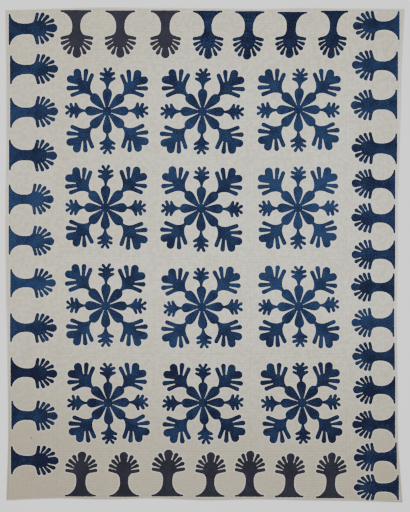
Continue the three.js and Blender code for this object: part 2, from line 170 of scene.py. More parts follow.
# The trees along each edge: where each stands along it, how far its foot is from it, its height and
# width, half its trunk's width, and how far its crown leans sideways for each unit of height
TREE_COLUMNS = ("at", "foot", "tall", "wide", "trunk", "lean")
TREES = {
    "left": [
        (1200, 17, 258, 165, 28, -0.03),
        (985, 21, 255, 154, 26, -0.02),
        (756, 20, 255, 160, 25.5, -0.03),
        (532, 16, 255, 163, 27.5, 0.02),
        (295, 18, 239, 158, 26, 0.00),
        (78, 18, 242, 156, 25, 0.03),
        (-151, 24, 242, 150, 25, 0.00),
        (-388, 18, 248, 153, 24, 0.01),
        (-625, 16, 248, 156, 24, 0.04),
        (-855, 17, 246, 153, 25, 0.02),
        (-1095, 17, 253, 152, 26, 0.01),
    ],
    "right": [
        (1221, 19, 248, 154, 24, -0.01),
        (1004, 17, 244, 158, 24, 0.03),
        (801, 16, 247, 158, 26.5, -0.02),
        (564, 10, 242, 163, 27, 0.02),
        (374, 12, 231, 155, 22.5, 0.03),
        (191, 10, 233, 153, 24, 0.03),
        (0, 10, 231, 152, 24, 0.00),
        (-174, 10, 232, 149, 24.5, 0.01),
        (-362, 10, 227, 152, 24.5, 0.00),
        (-542, 10, 226, 147, 25, 0.00),
        (-721, 10, 224, 147, 24, 0.01),
        (-905, 12, 228, 146, 25, 0.00),
        (-1073, 10, 229, 146, 25, -0.04),
        (-1240, 12, 239, 134, 27, 0.00),
    ],
    "head": [
        (-685, 11, 253, 166, 21.5, -0.02),
        (-449, 16, 251, 160, 23, 0.00),
        (-209, 13, 253, 158, 24, 0.00),
        (17, 14, 257, 157, 21, -0.01),
        (241, 12, 257, 157, 23, 0.06),
        (468, 20, 245, 158, 25.5, 0.07),
        (693, 13, 254, 145, 21.5, 0.08),
    ],
    "foot": [
        (-662, 10, 238, 165, 24.5, 0.04),
        (-428, 10, 237, 160, 22, -0.01),
        (-199, 10, 248, 170, 24, 0.03),
        (29, 16, 237, 156, 22.5, 0.02),
        (239, 12, 244, 155, 22.5, 0.02),
        (450, 12, 234, 153, 25, 0.04),
        (669, 11, 242, 153, 25, 0.04),
    ],
}
# The faded print was used for the first trees of the head and for every tree of the foot
FADED_HEAD_TREES = 3

# How light the prints are in general, from 0 to 1. The indigo darkens between two places towards the
# foot, and each motif and each leaf of a block strays by chance.
BLOCK_TONE = 0.55
TREE_TONES = {"left": 0.50, "right": 0.40, "head": 0.20}
FADED_TONES = {"head": 0.70, "foot": 0.25}
FOOT_DARKER = 0.35
DARKENS_BETWEEN = (-650, -400)
MOTIF_TONE_STRAY = 0.08
LEAF_TONE_STRAY = 0.08
TONES_BLEND_OVER = 60

# How the motifs were cut and sewn by hand
CUT_SLIP = 1.2
CUT_WANDER = 0.3
WANDER_COUNT = 6
WANDER_WAVES = (20, 90)
CORNER_REACH = 2.4
CORNER_SHARE = 0.45
CORNER_STEPS = 3
SMOOTH_TURN = -0.85
ARC_STEP = 2.6
WIDEST_ARC = 1.6 * math.pi
LONGEST_STEP = 6.5
RIM_RINGS = (0.9, 2.4)
INNER_STEP = 9
INNER_JITTER = 0.2
RING_CLEAR = 0.75
INNER_CLEAR = 0.35
MOTIF_CROWN = (2, 20)
DITCH = 7

# Steps along each curve of a motif
PETAL_STEPS = 20
FLARE_STEPS = 12
ROOT_STEPS = 18
CROWN_STEPS = 14


# Curves and outlines


def smooth_line(values, share):
    """A smooth curve through even steps of values, at shares from 0 to 1 of its length."""
    values = np.asarray(values, float)
    slopes = np.gradient(values)
    place = np.clip(np.asarray(share, float), 0, 1) * (len(values) - 1)
    step = np.minimum(place.astype(int), len(values) - 2)
    t = place - step
    return (
        (2 * t**3 - 3 * t**2 + 1) * values[step]
        + (t**3 - 2 * t**2 + t) * slopes[step]
        + (3 * t**2 - 2 * t**3) * values[step + 1]
        + (t**3 - t**2) * slopes[step + 1]
    )


def smooth_step(value, low, high):
    t = np.clip((value - low) / (high - low), 0, 1)
    return t * t * (3 - 2 * t)


def edge_x(side, share):
    out = WIDTH / 2 + smooth_line(EDGE_STRAY[side], share)
    return -out if side == "left" else out


def edge_y(side, share):
    out = LENGTH / 2 + smooth_line(EDGE_STRAY[side], share)
    return out if side == "head" else -out


def share_across(x):
    return (x + WIDTH / 2) / WIDTH


def share_down(y):
    return (LENGTH / 2 - y) / LENGTH


def outline_middle():
    shares = np.linspace(0, 1, len(EDGE_STRAY["left"]))
    x = [edge_x(side, shares) for side in ("left", "right")]
    y = [edge_y(side, shares) for side in ("head", "foot")]
    return np.array([(np.min(x) + np.max(x)) / 2, (np.min(y) + np.max(y)) / 2])


MIDDLE = outline_middle()


def bezier(points, steps):
    """A quadratic or cubic curve without its last point."""
    t = np.linspace(0, 1, steps + 1)[:-1, None]
    points = [np.asarray(p, float) for p in points]
    while len(points) > 1:
        points = [a + (b - a) * t for a, b in zip(points[:-1], points[1:])]
    return points[0]


def belt(rounds):
    """A closed outline round each (x, y, radius): anticlockwise, or clockwise if that is negative."""
    rounds = np.asarray(rounds, float)
    after = np.roll(rounds, -1, axis=0)
    run = after[:, :2] - rounds[:, :2]
    spread = (after[:, 2] - rounds[:, 2]) / np.linalg.norm(run, axis=1)
    leaving = np.arctan2(run[:, 1], run[:, 0]) - np.arcsin(np.clip(spread, -1, 1))
    points = []
    for (x, y, radius), start, end in zip(rounds, np.roll(leaving, 1), leaving):
        if radius == 0:
            points.append([(x, y)])
            continue
        sweep = math.copysign(1, radius) * (end - start) % (2 * math.pi)
        # A round that the belt only grazes has no arc
        sweep = 0 if sweep > WIDEST_ARC else math.copysign(sweep, radius)
        turn = start + sweep * np.linspace(0, 1, max(1, math.ceil(abs(sweep * radius) / ARC_STEP)) + 1)
        points.append(np.column_stack([x + radius * np.sin(turn), y - radius * np.cos(turn)]))
    return np.concatenate(points)


def as_rounds(points):
    return [(x, y, 0) for x, y in points]


def hand_cut(rounds, chance):
    """The rounds again, each a little off the pattern."""
    slips = chance.normal(0, CUT_SLIP, (len(rounds), 2))
    return [(x + dx, y + dy, radius) for (x, y, radius), (dx, dy) in zip(rounds, slips)]


def mirrored(rounds):
    return [(-x, y, radius) for x, y, radius in rounds][::-1]


def arm_side(growth, chance):
    turn = math.pi / ARMS
    slit = (SLIT["out"] * math.sin(turn), SLIT["out"] * math.cos(turn))
    petal = bezier([slit, PETAL["swell"], PETAL["shoulder"], growth["neck"]], PETAL_STEPS)[1:]
    flare = bezier([growth["neck"], *growth["flare"]], FLARE_STEPS)
    return as_rounds(petal) + as_rounds(flare) + hand_cut(growth["rounds"], chance)


def turned(points, angle):
    c, s = math.cos(angle), math.sin(angle)
    return points @ np.array([[c, s], [-s, c]])


def block_outline(sewn, chance):
    """Eight arms round a middle, parted by slits: sprigs on the axes and leaves on the diagonals."""
    rounds = []
    for arm in range(ARMS):
        growth = SPRIG if arm % 2 == 0 else LEAF
        sway, reach = sewn["sprigs" if arm % 2 == 0 else "leaves"][arm // 2]
        made = arm_side(growth, chance) + [growth["notch"]] + mirrored(arm_side(growth, chance))
        made = np.array(made)
        grown = np.clip((made[:, 1] - SLIT["out"]) / (growth["tip"] - SLIT["out"]), 0, None)
        made[:, :2] += np.outer(grown, (sway, reach))
        half = math.pi / ARMS
        slit = (-SLIT["out"] * math.sin(half), SLIT["out"] * math.cos(half), -SLIT["radius"])
        made = np.vstack([made, slit])
        made[:, :2] = turned(made[:, :2], 2 * math.pi * arm / ARMS)
        rounds.append(made)
    return belt(np.concatenate(rounds))


def tree_side(trunk, chance):
    """One side of a tree. A point of its curves on the stem's line moves out by half the trunk."""
    root, crown = (
        [(x + (trunk if x <= 0 else 0), y) for x, y in TREE[part]] for part in ("root", "crown")
    )
    curves = np.concatenate([bezier(root, ROOT_STEPS), bezier(crown, CROWN_STEPS)])
    return [TREE["toe"]] + as_rounds(curves) + hand_cut(TREE["rounds"], chance)


def tree_outline(tree, chance):
    trunk = tree["trunk"]
    sides = tree_side(trunk, chance) + [TREE["crest"]] + mirrored(tree_side(trunk, chance))
    points = belt(sides) * (tree["wide"] / TREE["width"], tree["tall"] / TREE["height"])
    return points + np.outer(points[:, 1], (tree["lean"], 0))


def soften(points):
    """Rounds each sharp corner of a closed outline, as cloth that is turned under does."""
    before, after = np.roll(points, 1, axis=0), np.roll(points, -1, axis=0)
    rounded = []
    for p, a, b in zip(points, before, after):
        to_a, to_b = a - p, b - p
        long_a, long_b = np.linalg.norm(to_a), np.linalg.norm(to_b)
        if to_a @ to_b / (long_a * long_b) < SMOOTH_TURN:
            rounded.append([p])
            continue
        start = p + to_a * min(CORNER_REACH / long_a, CORNER_SHARE)
        end = p + to_b * min(CORNER_REACH / long_b, CORNER_SHARE)
        rounded.append(np.vstack([bezier([start, p, end], CORNER_STEPS), end]))
    return np.concatenate(rounded)


def spaced(points, longest):
    """A closed outline again, with points added until no step is longer than longest."""
    pieces = []
    for a, b in zip(points, np.roll(points, -1, axis=0)):
        count = max(1, math.ceil(np.linalg.norm(b - a) / longest))
        pieces.append(a + (b - a) * np.linspace(0, 1, count + 1)[:-1, None])
    return np.concatenate(pieces)


def inward(points):
    """The unit normal at each point of an anticlockwise outline, pointing into it."""
    along = np.roll(points, -1, axis=0) - np.roll(points, 1, axis=0)
    along /= np.linalg.norm(along, axis=1, keepdims=True)
    return np.stack([-along[:, 1], along[:, 0]], axis=1)


def wandering(points, chance):
    """An outline that strays from its line as scissors and needle do."""
    steps = np.linalg.norm(np.roll(points, -1, axis=0) - points, axis=1)
    run = np.concatenate([[0], np.cumsum(steps)[:-1]]) / steps.sum() * 2 * math.pi
    stray = np.zeros(len(points))
    for waves in chance.integers(*WANDER_WAVES, WANDER_COUNT):
        stray += np.sin(run * waves + chance.uniform(0, 2 * math.pi))
    return points + inward(points) * (stray * CUT_WANDER / math.sqrt(WANDER_COUNT / 2))[:, None]


def inside(points, outline):
    """Which points lie inside a closed outline."""
    hit = np.zeros(len(points), bool)
    x, y = points[:, 0], points[:, 1]
    for (ax, ay), (bx, by) in zip(outline, np.roll(outline, -1, axis=0)):
        if ay == by:
            continue
        crosses = (ay > y) != (by > y)
        hit ^= crosses & (x < ax + (y - ay) * (bx - ax) / (by - ay))
    return hit


# Surfaces


def ripple(x, y):
    """How far the quilt lifts from the floor in soft waves, from 0 to RIPPLE."""
    chance = np.random.default_rng(7)
    total = np.zeros(np.broadcast(x, y).shape)
    for length in RIPPLE_LENGTHS:
        angle, phase = chance.uniform(0, 2 * math.pi, 2)
        total += np.sin((x * math.cos(angle) + y * math.sin(angle)) * 2 * math.pi / length + phase)
    return RIPPLE * (0.5 + total / (2 * len(RIPPLE_LENGTHS)))


class Motif:
    """A cut motif: its outline in place, and how far any point is from it."""

    def __init__(self, name, outline, place, angle, tones, faded, chance):
        self.name = name
        self.place = np.asarray(place, float)
        self.angle = angle
        self.tones = tones
        self.faded = faded
        cut = wandering(spaced(soften(outline), LONGEST_STEP), chance)
        self.outline = turned(cut, angle) + self.place
        dense = spaced(self.outline, 1)
        self.tree = KDTree(len(dense))
        for index, (x, y) in enumerate(dense):
            self.tree.insert((x, y, 0), index)
        self.tree.balance()
        self.low = self.outline.min(axis=0)
        self.high = self.outline.max(axis=0)

    def distance(self, points):
        """How far each point is from the outline: positive outside, negative inside."""
        far = np.array([self.tree.find((x, y, 0))[2] for x, y in points])
        return np.where(inside(points, self.outline), -far, far)


def print_tones(tone, place, faded, leaves, chance):
    """How light a motif's print is, once for each of its leaves. The indigo is darker near the foot."""
    if not faded:
        tone -= FOOT_DARKER * (1 - smooth_step(place[1], *DARKENS_BETWEEN))
    tones = tone + chance.normal(0, MOTIF_TONE_STRAY) + chance.normal(0, LEAF_TONE_STRAY, leaves)
    return np.clip(tones, 0, 1)


def make_motifs():
    chance = np.random.default_rng(39)
    fading = np.random.default_rng(51)
    motifs = []
    for index, sewn in enumerate(BLOCK_SEWN):
        row, column = divmod(index, COLUMNS)
        place = FIELD_CENTRE + np.array([
            (column - (COLUMNS - 1) / 2) * BLOCK_WIDTH + sewn["dx"],
            ((ROWS - 1) / 2 - row) * BLOCK_LENGTH + sewn["dy"],
        ])
        name = f"oak_block_r{row + 1}c{column + 1}"
        turn = math.radians(sewn["turn"])
        outline = block_outline(sewn, chance)
        tones = print_tones(BLOCK_TONE, place, False, len(sewn["leaves"]), fading)
        motifs.append(Motif(name, outline, place, turn, tones, False, chance))
    growing = {"left": -math.pi / 2, "right": math.pi / 2, "head": math.pi, "foot": 0}
    for side, rows in TREES.items():
        for index, row in enumerate(rows):
            tree = dict(zip(TREE_COLUMNS, row))
            at, foot = tree["at"], tree["foot"]
            place = {
                "left": lambda: (edge_x("left", share_down(at)) + foot, at),
                "right": lambda: (edge_x("right", share_down(at)) - foot, at),
                "head": lambda: (at, edge_y("head", share_across(at)) - foot),
                "foot": lambda: (at, edge_y("foot", share_across(at)) + foot),
            }[side]()
            faded = side == "foot" or (side == "head" and index < FADED_HEAD_TREES)
            name = f"tree_{side}_{index + 1:02d}"
            outline = tree_outline(tree, chance)
            tone = FADED_TONES[side] if faded else TREE_TONES[side]
            tones = print_tones(tone, place, faded, 1, fading)
            motifs.append(Motif(name, outline, place, growing[side], tones, faded, chance))
    return motifs


motifs = make_motifs()


def near_motifs(points):
    """How far each point is from the nearest motif, negative inside one."""
    best = np.full(len(points), float(DITCH))
    for motif in motifs:
        box = np.all((points > motif.low - DITCH) & (points < motif.high + DITCH), axis=1)
        if box.any():
            best[box] = np.minimum(best[box], motif.distance(points[box]))
    return best


def ground_height(points, puff, from_seam, from_edge):
    """The top cloth's height, with puffs that sink at seams, at the binding and round each motif.

    Returned with it: how open the cloth is to puff, and how far each point is from a motif.
    """
    near = near_motifs(points)
    open_cloth = smooth_step(near, MOTIF_HEM, DITCH) * smooth_step(from_seam, 0, OPEN_FROM_SEAM)
    open_cloth *= smooth_step(from_edge, BINDING_WIDTH - 1, BINDING_WIDTH + OPEN_FROM_BINDING)
    under = UNDER_MOTIF * smooth_step(-near, -1, MOTIF_HEM)
    height = VALLEY_Z + PUFF * puff * open_cloth + under
    height -= SEAM_DIP * (1 - smooth_step(from_seam, 0, SEAM_SINK))
    sunk = (BINDING_WIDTH - SUNK_UNDER_BINDING, BINDING_WIDTH + SUNK_FROM_BINDING)
    height -= (VALLEY_Z - EDGE_Z) * (1 - smooth_step(from_edge, *sunk))
    return height + ripple(points[:, 0], points[:, 1]), open_cloth, near


def puffed(rows):
    """The swell of the wadding between two lines of quilting."""
    return np.abs(np.sin(math.pi * rows)) ** PUFF_POWER


# Meshes


def make_object(name, points, faces, material, attributes=None):
    mesh = bpy.data.meshes.new(name)
    places = (np.asarray(points, float) - (*MIDDLE, 0)) * MM
    mesh.from_pydata(places.tolist(), [], [tuple(face) for face in np.asarray(faces).tolist()])
    mesh.shade_smooth()
    for key, values in (attributes or {}).items():
        kind, field = ("FLOAT_VECTOR", "vector") if np.ndim(values) == 2 else ("FLOAT", "value")
        layer = mesh.attributes.new(key, kind, "POINT")
        layer.data.foreach_set(field, np.asarray(values, np.float32).ravel())
    mesh.materials.append(material)
    piece = bpy.data.objects.new(name, mesh)
    bpy.context.collection.objects.link(piece)
    return piece


def grid_faces(rows, columns):
    """Faces of a grid whose points run along its rows, anticlockwise seen from where x turns to y."""
    index = np.arange(rows * columns).reshape(rows, columns)
    corners = index[:-1, :-1], index[:-1, 1:], index[1:, 1:], index[1:, :-1]
    return np.stack(corners, axis=-1).reshape(-1, 4)


def cloth_piece(name, x, y, rows, from_seam, from_edge, material):
    """A quilted piece of the top cloth on a grid, with its place in the rows of quilting both ways."""
    points = np.stack([x.ravel(), y.ravel()], axis=1)
    puff = np.prod([puffed(lines.ravel()) for lines in rows if lines is not None], axis=0)
    height, open_cloth, near = ground_height(points, puff, from_seam.ravel(), from_edge.ravel())
    lines = [np.full(len(points), 0.5) if each is None else each.ravel() for each in rows]
    piece = make_object(
        name,
        np.column_stack([points, height]),
        grid_faces(*x.shape),
        material,
        {"quilting": np.column_stack([*lines, open_cloth]), "puff": puff, "near": near},
    )
    return piece


def from_edges(x, y):
    return np.minimum.reduce([
        x - edge_x("left", share_down(y)),
        edge_x("right", share_down(y)) - x,
        edge_y("head", share_across(x)) - y,
        y - edge_y("foot", share_across(x)),
    ])


def top_squares(material):
    cells = BLOCK_QUILT_ROWS * CELLS_A_ROW
    line = np.linspace(0, 1, cells + 1)
    pieces = []
    for row in range(ROWS):
        for column in range(COLUMNS):
            s, t = np.meshgrid(line, line)
            x = SEAM_LEFT + (column + s) * BLOCK_WIDTH
            y = SEAM_FOOT + (ROWS - 1 - row + t) * BLOCK_LENGTH
            rows = (s * BLOCK_QUILT_ROWS, t * BLOCK_QUILT_ROWS)
            seam = np.minimum.reduce([s, 1 - s]) * BLOCK_WIDTH
            seam = np.minimum(seam, np.minimum(t, 1 - t) * BLOCK_LENGTH)
            name = f"top_square_r{row + 1}c{column + 1}"
            pieces.append(cloth_piece(name, x, y, rows, seam, from_edges(x, y), material))
    return pieces


def top_borders(material):
    across = np.linspace(0, 1, BORDER_QUILT_ROWS * CELLS_A_ROW + 1)
    pieces = []
    down = np.linspace(0, 1, LENGTH // BORDER_STEP + 1)
    for side, seam_x in (("left", SEAM_LEFT), ("right", SEAM_RIGHT)):
        s, t = np.meshgrid(across if side == "left" else across[::-1], down[::-1])
        outer = edge_x(side, t) + (TUCKED if side == "left" else -TUCKED)
        x = outer + (seam_x - outer) * s
        head = edge_y("head", share_across(x)) - TUCKED
        foot = edge_y("foot", share_across(x)) + TUCKED
        y = head + (foot - head) * t
        rows = (s * BORDER_QUILT_ROWS, None)
        pieces.append(cloth_piece(
            f"top_border_{side}", x, y, rows, np.abs(x - seam_x), from_edges(x, y), material
        ))
    field = SEAM_RIGHT - SEAM_LEFT
    along = np.linspace(SEAM_LEFT, SEAM_RIGHT, int(field // BORDER_STEP) + 1)
    for side, seam_y in (("head", SEAM_HEAD), ("foot", SEAM_FOOT)):
        x, t = np.meshgrid(along, across[::-1] if side == "head" else across)
        outer = edge_y(side, share_across(x)) + (TUCKED if side == "foot" else -TUCKED)
        y = outer + (seam_y - outer) * t
        rows = (t * BORDER_QUILT_ROWS, None)
        seam = np.minimum.reduce([np.abs(y - seam_y), x - SEAM_LEFT, SEAM_RIGHT - x])
        pieces.append(cloth_piece(
            f"top_border_{side}", x, y, rows, seam, from_edges(x, y), material
        ))
    return pieces


def backing(material):
    s, t = np.meshgrid(
        np.linspace(0, 1, WIDTH // BACKING_STEP + 1), np.linspace(0, 1, LENGTH // BACKING_STEP + 1)
    )
    left, right = edge_x("left", t) + TUCKED, edge_x("right", t) - TUCKED
    x = left + (right - left) * s
    head, foot = edge_y("head", s) - TUCKED, edge_y("foot", s) + TUCKED
    y = head + (foot - head) * t
    height = BACKING_Z + ripple(x, y)
    inner = smooth_step(from_edges(x, y), BINDING_WIDTH, BINDING_WIDTH + BACKING_STEP)
    height += BACKING_LIFT * (1 - inner)
    points = np.stack([x.ravel(), y.ravel(), height.ravel()], axis=1)
    # Rows run down the quilt, so the faces look at the floor
    piece = make_object("backing", points, grid_faces(*x.shape), material)
    return piece


# How the tape strays along its edge, and the length of its stitches
TAPE_WANDER = 0.35
TAPE_LIFT = 0.08
TAPE_KNOT_STEPS = 5
HEM_STITCH = 4

# The section of the folded tape: how far in from the edge, and how high
BINDING_SECTION = np.array([
    (9.5, 0.05), (5.5, 0.0), (2.0, 0.1), (0.7, 0.6), (0.1, 1.4), (0.0, 2.3), (0.3, 3.1), (1.2, 3.8),
    (3.0, 4.2), (6.0, 4.3), (8.4, 4.1), (9.4, 3.6), (9.3, 3.1), (8.2, 3.2), (5.0, 3.35), (2.2, 3.2),
    (1.2, 2.4), (1.2, 1.6), (2.2, 1.05), (5.5, 0.95), (9.3, 0.95),
])


def edge_line(side, inset, steps):
    """Points along an edge, drawn in by inset, with mitred ends."""
    share = np.linspace(0, 1, steps + 1)
    if side in ("left", "right"):
        sign = 1 if side == "left" else -1
        x = edge_x(side, share) + sign * inset
        corner = 0 if side == "left" else 1
        y = np.linspace(edge_y("head", corner) - inset, edge_y("foot", corner) + inset, steps + 1)
    else:
        sign = -1 if side == "head" else 1
        corner = 0 if side == "head" else 1
        x = np.linspace(edge_x("left", corner) + inset, edge_x("right", corner) - inset, steps + 1)
        y = edge_y(side, share) + sign * inset
    return np.stack([x, y], axis=1)


def binding(side, material):
    steps = (LENGTH if side in ("left", "right") else WIDTH) // BINDING_STEP
    chance = np.random.default_rng({"head": 1, "foot": 2, "left": 3, "right": 4}[side])
    knots = chance.normal(0, 1, steps // TAPE_KNOT_STEPS)
    uneven = smooth_line(knots, np.linspace(0, 1, steps + 1))
    count = len(BINDING_SECTION)
    rings = []
    for inset, z in BINDING_SECTION:
        # The tape's inner edge wanders, and its fold stays on the edge
        drawn = inset + uneven * TAPE_WANDER * inset / BINDING_WIDTH
        outer, inner = edge_line(side, 0, steps), edge_line(side, BINDING_WIDTH, steps)
        line = outer + (inner - outer) * (drawn / BINDING_WIDTH)[:, None]
        height = z + ripple(line[:, 0], line[:, 1]) + uneven * TAPE_LIFT
        rings.append(np.column_stack([line, height]))
    points = np.stack(rings, axis=1).reshape(-1, 3)
    index = np.arange((steps + 1) * count).reshape(steps + 1, count)
    after = np.roll(index, -1, axis=1)
    faces = np.stack([index[:-1], after[:-1], after[1:], index[1:]], axis=-1).reshape(-1, 4)
    if side in ("left", "foot"):
        faces = faces[:, ::-1]
    run = np.repeat(np.linspace(0, steps * BINDING_STEP, steps + 1), count)
    inset = np.tile(BINDING_SECTION[:, 0], steps + 1)
    attributes = {"run": run, "inset": inset}
    piece = make_object(f"edge_binding_{side}", points, faces, material, attributes)
    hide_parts(f"binding_{side}")
    return piece


def leaf_tone(motif, points):
    """How light the print is at each point: one tone for a tree, four that blend for a block."""
    if len(motif.tones) == 1:
        return np.full(len(points), motif.tones[0])
    local = turned(points - motif.place, -motif.angle) / TONES_BLEND_OVER
    left = 1 / (1 + np.exp(local[:, 0] * 2))
    upper = 1 / (1 + np.exp(-local[:, 1] * 2))
    up_left, low_left, low_right, up_right = motif.tones
    return upper * (left * up_left + (1 - left) * up_right) + (1 - upper) * (
        left * low_left + (1 - left) * low_right
    )


def motif_piece(motif, materials, chance):
    """The cut cloth: an outline, two rings just inside it that round its edge, and points between."""
    outline = motif.outline
    normals = inward(outline)
    rings = [outline + normals * ring for ring in RIM_RINGS]
    spread = [np.arange(low, high, INNER_STEP) for low, high in zip(motif.low, motif.high)]
    inner = np.stack(np.meshgrid(*spread), axis=-1).reshape(-1, 2)
    inner = inner + chance.uniform(-INNER_JITTER, INNER_JITTER, inner.shape) * INNER_STEP
    extra = np.concatenate([*rings, inner])
    depth = -motif.distance(extra)
    least = np.concatenate([np.full(len(outline), ring * RING_CLEAR) for ring in RIM_RINGS] + [
        np.full(len(inner), RIM_RINGS[-1] + INNER_STEP * INNER_CLEAR)
    ])
    keep = depth > least
    points = np.concatenate([outline, extra[keep]])
    depth = np.concatenate([np.zeros(len(outline)), depth[keep]])
    loop = list(range(len(outline)))
    made = delaunay_2d_cdt([Vector(p) for p in points.tolist()], [], [loop], 1, 1e-4)
    flat = np.array([tuple(p) for p in made[0]])
    # A point made where the outline crosses itself has no source, and lies on the rim
    depth = np.array([depth[source[0]] if source else 0 for source in made[3]])
    height = VALLEY_Z + UNDER_MOTIF + MOTIF_RIM + ripple(flat[:, 0], flat[:, 1])
    height += MOTIF_RISE * np.sqrt(np.clip(depth / RIM_RINGS[-1], 0, 1))
    height += MOTIF_PUFF * smooth_step(depth, *MOTIF_CROWN)
    turn = chance.uniform(0, math.pi)
    weave = turned(flat - motif.place, turn)
    piece = make_object(
        f"cut_{motif.name}",
        np.column_stack([flat, height]),
        made[2],
        materials["faded" if motif.faded else "indigo"],
        {"cloth": np.column_stack([weave, leaf_tone(motif, flat)]), "depth": depth},
    )
    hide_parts(motif.name)
    return piece


# Materials


def node(tree, kind, inputs=None, **settings):
    made = tree.nodes.new(kind)
    for key, value in settings.items():
        setattr(made, key, value)
    for key, value in (inputs or {}).items():
        if isinstance(value, bpy.types.NodeSocket):
            tree.links.new(value, made.inputs[key])
        else:
            made.inputs[key].default_value = value
    return made


def math_node(tree, operation, *values, clamp=False):
    made = node(tree, "ShaderNodeMath", dict(enumerate(values)), operation=operation, use_clamp=clamp)
    return made.outputs[0]


def mix(tree, share, a, b, blend="MIX"):
    """Mixes two colours. a and b are colours or sockets."""
    made = node(tree, "ShaderNodeMix", data_type="RGBA", blend_type=blend, clamp_factor=True)
    for socket, value in ((made.inputs[0], share), (made.inputs[6], a), (made.inputs[7], b)):
        if isinstance(value, bpy.types.NodeSocket):
            tree.links.new(value, socket)
        elif isinstance(value, tuple):
            socket.default_value = (*value, 1)
        else:
            socket.default_value = value
    return made.outputs[2]


def ramp(tree, value, low, high, start=0.0, end=1.0):
    made = node(tree, "ShaderNodeMapRange", {
        "Value": value, "From Min": low, "From Max": high, "To Min": start, "To Max": end,
    }, interpolation_type="SMOOTHSTEP")
    return made.outputs[0]


def noise(tree, vector, scale, detail=2.0):
    made = node(tree, "ShaderNodeTexNoise", {"Vector": vector, "Scale": scale, "Detail": detail})
    return made.outputs[0]


def new_material(name, roughness, sheen, specular=0.25):
    material = bpy.data.materials.new(name)
    material.use_nodes = True
    tree = material.node_tree
    shader = tree.nodes["Principled BSDF"]
    shader.inputs["Roughness"].default_value = roughness
    shader.inputs["Specular IOR Level"].default_value = specular
    shader.inputs["Sheen Weight"].default_value = sheen
    shader.inputs["Sheen Roughness"].default_value = 0.5
    return material, tree, shader


def object_place(tree):
    return node(tree, "ShaderNodeTexCoord").outputs["Object"]


def weave_height(tree, place):
    """A plain weave as a height, from the threads that cross at each point."""
    scaled = node(tree, "ShaderNodeVectorMath", {0: place, "Scale": THREADS_A_METRE}, operation="SCALE")
    parts = node(tree, "ShaderNodeSeparateXYZ", {0: scaled.outputs[0]})
    waves = [math_node(tree, "SINE", parts.outputs[i]) for i in (0, 1)]
    return math_node(tree, "MULTIPLY", *waves)


def bumped(tree, height, strength, distance, normal=None):
    inputs = {"Height": height, "Strength": strength, "Distance": distance}
    if normal is not None:
        inputs["Normal"] = normal
    return node(tree, "ShaderNodeBump", inputs).outputs[0]


def round_mark(tree, place, at, radius, soft):
    """How strongly a round mark shows at each point. at is in millimetres, on the nominal rectangle."""
    middle = (np.array(at) - MIDDLE) * MM
    near = node(tree, "ShaderNodeVectorMath", {
        0: place, 1: (*middle, VALLEY_Z * MM),
    }, operation="DISTANCE").outputs["Value"]
    return ramp(tree, near, (radius - soft) * MM, (radius + soft) * MM, 1.0, 0.0)


# The weave, the stitches, the backing's rows and the print's dots
THREADS_A_METRE = 1500
QUILTING_STITCH = 3.2
BACK_QUILT_STEP = 16
PRINT_STEP = 7.5

# Colours, linear
GROUND = (0.645, 0.65, 0.545)
GROUND_WARM = (0.50, 0.445, 0.315)
GROUND_DULL = (0.38, 0.34, 0.25)
# Dark brown for dirt and wear, also used as painted shade in the quilting
GROUND_DIRT_AND_SHADE = (0.33, 0.26, 0.18)
GROUND_HALO_HIGHLIGHT = (0.78, 0.79, 0.77)
THREAD = (0.70, 0.68, 0.60)
TAPE = (0.76, 0.75, 0.69)
INDIGO = {
    "dark": (0.0026, 0.0024, 0.0155), "light": (0.0108, 0.0285, 0.083),
    "dot": (0.12, 0.19, 0.32), "dot_share": 0.6,
}
FADED = {
    "dark": (0.0125, 0.0115, 0.019), "light": (0.0235, 0.0245, 0.037),
    "dot": (0.10, 0.11, 0.14), "dot_share": 0.5,
}

# The small dark spot near the foot, and the two corners that are darker
SPOT = {"at": (-922, -977), "radius": 4.2, "soft": 1.6}
SPOT_COLOUR = (0.06, 0.045, 0.03)
DARKER_CORNERS = (((-1050, -1250), 440, 0.42), ((1030, -1280), 260, 0.28))


def aged_cotton(tree, place, colour):
    """White cotton gone to cream and mottled. It is yellower at left and head, darker and duller at foot
    and right, and darker at two corners.
    """
    for scale, detail, amount in ((2.3, 2.0, 0.24), (11, 4.0, 0.24)):
        mottled = ramp(tree, noise(tree, place, scale, detail), 0.42, 0.75, 0.0, amount)
        colour = mix(tree, mottled, colour, GROUND_WARM)
    parts = node(tree, "ShaderNodeSeparateXYZ", {0: place})
    colour = mix(tree, ramp(tree, parts.outputs[0], -1.05, 0.15, 0.52, 0.0), colour, GROUND_WARM)
    colour = mix(tree, ramp(tree, parts.outputs[1], 0.7, 1.3, 0.0, 0.42), colour, GROUND_WARM)
    colour = mix(tree, ramp(tree, parts.outputs[1], -1.3, -0.1, 0.90, 0.0), colour, GROUND_DULL)
    colour = mix(tree, ramp(tree, parts.outputs[0], 0.7, 1.05, 0.0, 0.24), colour, GROUND_DULL)
    for at, radius, amount in DARKER_CORNERS:
        corner = ramp(tree, round_mark(tree, place, at, radius, radius * 0.9), 0.0, 1.0, 0.0, amount)
        colour = mix(tree, corner, colour, GROUND_DIRT_AND_SHADE)
    return colour


